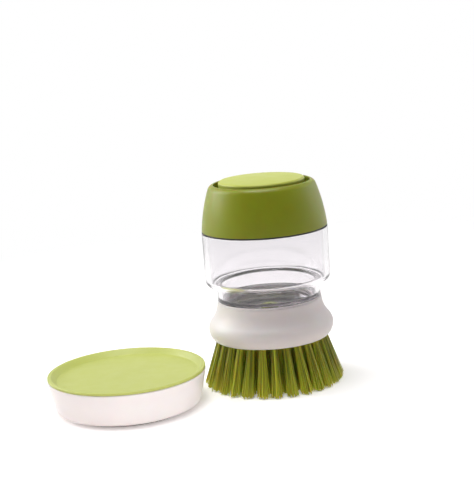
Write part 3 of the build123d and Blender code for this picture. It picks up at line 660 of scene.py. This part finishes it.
# %% Dish and tray
low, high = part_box("stand_dish")
stand_middle = ((low.x + high.x) / 2 / MM, (low.y + high.y) / 2 / MM)
dish = turned("dish_shell", rounded([
    (0, 1.0, 0), (26.9, 1.0, 0.2), (26.9, 1.6, 0), (30.6, 1.6, 0), (30.6, 1.0, 0.2),
    (34.2, 1.0, 2.4), (37.5, 16.6, 0.5), (35.2, 16.6, 0.5), (32.32, 3.0, 1.15), (0, 3.0, 0)]),
    centre=stand_middle)
settle(dish, "stand", white_polypropylene, "white_plastic", "stand_dish")
tray = turned("tray_shell", rounded([
    (0, 14.4, 0), (34.43, 14.4, 0.5), (34.43, 16.75, 0), (37.3, 16.75, 0.2), (37.3, 18.0, 0.5),
    (35.6, 18.0, 0.5), (33.23, 15.6, 0.5), (0, 15.6, 0)]), centre=stand_middle)
settle(tray, "tray", pale_tray_plastic, "green_tray", "stand_tray")
for piece in (dish, tray):
    lit_by_fill.objects.link(piece)
print("stand's middle in mm:", [round(v, 2) for v in stand_middle])

# %% [markdown]
# ## The bristles
#
# Such a brush is a plate of holes with a folded bundle of nylon filaments stapled into each. The outer
# ring's 28 holes come from the tufts that can be counted in the photograph. The three rings inside it,
# 48 more, are a guess. Filaments are copies of one simple thing, so Geometry Nodes make them.
#
# The tree scatters nothing: from each point's number it works out the tuft, the filament in the tuft
# and the joint along the filament, and from those its place. Filaments fill their hole as seeds fill a
# sunflower, which packs round bundles evenly. Towards the tips they lean outwards, spread a little, and
# end unevenly.

# %% Bristle tree
JOINTS = 6
SIDES = 6

bundle = bpy.data.node_groups.new("bristle_bundles", "GeometryNodeTree")
INPUTS = [
    ("Tufts", "NodeSocketInt"), ("Filaments", "NodeSocketInt"),
    ("Ring radius", "NodeSocketFloat"), ("Hole radius", "NodeSocketFloat"),
    ("Lean share", "NodeSocketFloat"), ("Spread share", "NodeSocketFloat"),
    ("Root height", "NodeSocketFloat"), ("Uneven tips", "NodeSocketFloat"),
    ("Stray tips", "NodeSocketFloat"), ("Tuft wander", "NodeSocketFloat"),
    ("Filament radius", "NodeSocketFloat"),
    ("Seed", "NodeSocketInt"), ("Finish", "NodeSocketMaterial"),
]
sockets = {name: bundle.interface.new_socket(name, in_out="INPUT", socket_type=kind).identifier
           for name, kind in INPUTS}
bundle.interface.new_socket("Bristles", in_out="OUTPUT", socket_type="NodeSocketGeometry")
given = add(bundle, "NodeGroupInput").outputs


def maths(operation, first, second=0.0):
    """One sum or product in the bristle tree."""
    return add(bundle, "ShaderNodeMath", {0: first, 1: second}, operation=operation).outputs[0]


def whole(operation, first, second):
    """One sum or product of whole numbers in the bristle tree."""
    return add(bundle, "FunctionNodeIntegerMath", {0: first, 1: second},
               operation=operation).outputs[0]


def chance(low, high, of_what, offset):
    """A random number for each filament or tuft, the same on all its joints."""
    return add(bundle, "FunctionNodeRandomValue", {
        2: low, 3: high, 7: of_what, 8: whole("ADD", given["Seed"], offset)},
        data_type="FLOAT").outputs[1]


index = add(bundle, "GeometryNodeInputIndex").outputs[0]
filament = whole("DIVIDE_FLOOR", index, JOINTS)
along = maths("DIVIDE", whole("MODULO", index, JOINTS), JOINTS - 1)
tuft = whole("DIVIDE_FLOOR", filament, given["Filaments"])
seed_number = whole("MODULO", filament, given["Filaments"])

# %% [markdown]
# The sunflower rule: filament k sits at a share of the hole's radius that is the root of its share of
# the filaments, turned by the golden angle from the last.

# %% Place each joint
GOLDEN_ANGLE = math.pi * (3 - math.sqrt(5))
reach = maths("MULTIPLY", given["Hole radius"],
              maths("SQRT", maths("DIVIDE", maths("ADD", seed_number, 0.5), given["Filaments"])))
reach = maths("MULTIPLY", reach,
              maths("ADD", 1.0, maths("MULTIPLY", along,
                                      maths("SUBTRACT", given["Spread share"], 1.0))))
turn = maths("ADD", maths("MULTIPLY", seed_number, GOLDEN_ANGLE), maths("MULTIPLY", tuft, 1.9))
stray = maths("MULTIPLY", maths("MULTIPLY", along, along), given["Stray tips"])
out_of_middle = maths("ADD", maths("MULTIPLY", reach, maths("COSINE", turn)),
                      maths("MULTIPLY", stray, chance(-1.0, 1.0, filament, 1)))
across = maths("ADD", maths("MULTIPLY", reach, maths("SINE", turn)),
               maths("MULTIPLY", stray, chance(-1.0, 1.0, filament, 2)))
wander = maths("MULTIPLY", along, given["Tuft wander"])
across = maths("ADD", across, maths("MULTIPLY", wander, chance(-1.0, 1.0, tuft, 5)))
ring = maths("MULTIPLY", given["Ring radius"],
             maths("ADD", 1.0, maths("MULTIPLY", along,
                                     maths("SUBTRACT", given["Lean share"], 1.0))))
tip = maths("MULTIPLY", given["Uneven tips"], maths("POWER", chance(0.3, 1.0, filament, 3), 2.0))
drop = maths("SUBTRACT", given["Root height"],
             maths("MULTIPLY", along, maths("SUBTRACT", given["Root height"], tip)))
flat = add(bundle, "ShaderNodeCombineXYZ", {0: maths("ADD", ring, out_of_middle), 1: across,
                                            2: drop}).outputs[0]
ring_turn = maths("DIVIDE", maths("MULTIPLY", tuft, 2 * math.pi), given["Tufts"])
joint_place = add(bundle, "ShaderNodeVectorRotate", {"Vector": flat, "Angle": ring_turn},
                  rotation_type="Z_AXIS").outputs[0]

# %% [markdown]
# The joints become curves, one for each filament, and a six-sided section along each curve gives it its
# thickness. Two attributes go with the mesh for its material: how far along the filament a point is,
# and a random shade for each filament.

# %% Joints to filaments
count = whole("MULTIPLY", whole("MULTIPLY", given["Tufts"], given["Filaments"]), JOINTS)
joints = add(bundle, "GeometryNodePoints", {"Count": count, "Position": joint_place}).outputs[0]
for name, value in (("along_filament", along), ("filament_shade", chance(0.0, 1.0, filament, 4))):
    joints = add(bundle, "GeometryNodeStoreNamedAttribute", {"Geometry": joints, "Name": name,
                                                             "Value": value},
                 data_type="FLOAT", domain="POINT").outputs[0]
lines = add(bundle, "GeometryNodePointsToCurves", {"Points": joints, "Curve Group ID": filament,
                                                   "Weight": index}).outputs[0]
section = add(bundle, "GeometryNodeCurvePrimitiveCircle", {"Resolution": SIDES,
                                                           "Radius": given["Filament radius"]})
tubes = add(bundle, "GeometryNodeCurveToMesh", {"Curve": lines, "Profile Curve": section.outputs[0],
                                                "Fill Caps": True}).outputs[0]
real = add(bundle, "GeometryNodeRealizeInstances", {"Geometry": tubes}).outputs[0]
coated = add(bundle, "GeometryNodeSetMaterial", {"Geometry": real, "Material": given["Finish"]})
add(bundle, "NodeGroupOutput", {0: coated.outputs[0]})
print("bristle tree nodes:", len(bundle.nodes))

# %% [markdown]
# Nylon filament is extruded, so it is smooth and rather glossy, and light passes through its edges:
# the tips and the sides of a tuft look brighter and more yellow than its shaded middle. The shade
# attribute keeps neighbouring filaments apart. The along attribute paints the cut ends brighter and
# more yellow: a painted glow that stands in for the light passing through the tips.

# %% Nylon
nylon = bpy.data.materials.new("extruded_nylon_filament")
nylon.use_nodes = True
tree = nylon.node_tree
shader = tree.nodes["Principled BSDF"]
shade = add(tree, "ShaderNodeAttribute", attribute_name="filament_shade").outputs["Fac"]
along_it = add(tree, "ShaderNodeAttribute", attribute_name="along_filament").outputs["Fac"]
body_tone = add(tree, "ShaderNodeMix", {"Factor": shade, 6: colour("#6f781a"),
                                        7: colour("#d2d83e")}, data_type="RGBA")
# Painted glow: the last part of each filament is painted brighter and more yellow, for light passing
# through the tips.
painted_tip_glow = add(tree, "ShaderNodeMapRange", {"Value": along_it, "From Min": 0.55, "From Max": 1.0,
                                             "To Min": 0.0, "To Max": 0.7})
tone = add(tree, "ShaderNodeMix", {"Factor": painted_tip_glow.outputs["Result"],
                                   6: body_tone.outputs[2], 7: colour("#dce24c")},
           data_type="RGBA")
tree.links.new(tone.outputs[2], shader.inputs["Base Color"])
for socket, value in {"Roughness": 0.36, "IOR": 1.53, "Subsurface Weight": 0.5,
                      "Subsurface Scale": 0.0006}.items():
    shader.inputs[socket].default_value = value

# %% Make the tufts
FILAMENTS = 60
FILAMENT_RADIUS = 0.21
RINGS = [("tufts_outer", "bristles_outer", 24.9, 28), ("tufts_second", "bristles_second", 19.6, 22),
         ("tufts_third", "bristles_third", 14.3, 16), ("tufts_inner", "bristles_inner", 9.2, 10)]

for seed, (name, node, ring_radius, tufts) in enumerate(RINGS):
    maker = bpy.data.objects.new(name + "_maker", bpy.data.meshes.new(name + "_maker"))
    scene.collection.objects.link(maker)
    modifier = maker.modifiers.new("bundles", "NODES")
    modifier.node_group = bundle
    values = {"Tufts": tufts, "Filaments": FILAMENTS, "Ring radius": ring_radius * MM,
              "Hole radius": 1.35 * MM, "Lean share": 1.25, "Spread share": 2.15,
              "Root height": 24.0 * MM, "Uneven tips": 1.7 * MM, "Stray tips": 0.5 * MM,
              "Tuft wander": 0.7 * MM, "Filament radius": FILAMENT_RADIUS * MM,
              "Seed": 11 + seed, "Finish": nylon}
    for label, value in values.items():
        modifier[sockets[label]] = value
    made = bpy.data.meshes.new_from_object(maker.evaluated_get(
        bpy.context.evaluated_depsgraph_get()))
    bpy.data.objects.remove(maker)
    made.name = name
    made.shade_smooth()
    piece = bpy.data.objects.new(name, made)
    scene.collection.objects.link(piece)
    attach(piece, "brush_head")
    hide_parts(node)
    print(name, "triangles:", sum(len(f.vertices) - 2 for f in made.polygons))

# %% [markdown]
# The plate that holds the tufts closes the head from below. Its face is a plain white ring.

# %% Tuft face
tuft_face = turned("tuft_face", rounded([(5.2, 22.9, 0.3), (27.0, 22.9, 0.3), (27.0, 24.1, 0),
                                         (5.2, 24.1, 0)]))
settle(tuft_face, "brush_head", white_polypropylene, "white_plastic")

# %% [markdown]
# ## The CAD parts that stay
#
# The small working parts have the right shape already, so they keep their CAD meshes and only get
# their materials.

# %% Finish the CAD parts
CAD_FINISHES = {
    "tuft_plate": white_polypropylene, "tuft_anchors": galvanised_wire,
    "soap_valve": green_silicone, "valve_retainer": acetal, "neck_seal": clear_silicone,
    "cap_gasket": dark_rubber, "pump_base": acetal, "pump_diaphragm": clear_silicone,
    "diaphragm_ring": acetal, "air_valve": clear_silicone, "return_spring": stainless_wire,
    "button_stem": acetal, "stem_clip": stainless_wire, "stand_foot": dark_rubber,
}
for node, finish in CAD_FINISHES.items():
    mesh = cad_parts[node].data
    mesh.materials.clear()
    mesh.materials.append(finish)
print("CAD parts finished:", len(CAD_FINISHES))

# %% [markdown]
# Two hidden parts change their length: the return spring, and the silicone dome that pumps the air. The
# button goes down 3 mm and pushes on their tops, while their lower ends stay. Each gets a copy of its
# CAD mesh, which rides on the reservoir's body; nothing here makes the copy shorten.

# %% Copies of the parts that shorten
SHORTENING = {"return_spring": (85.0, "spring_steel"), "pump_diaphragm": (75.5, "clear_silicone")}

for node, (fixed_height, slot) in SHORTENING.items():
    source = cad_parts[node]
    mesh = source.data.copy()
    mesh.transform(source.matrix_world)
    piece = bpy.data.objects.new(node + "_soft", mesh)
    scene.collection.objects.link(piece)
    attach(piece, "bottle")
    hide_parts(node)
    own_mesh(piece)
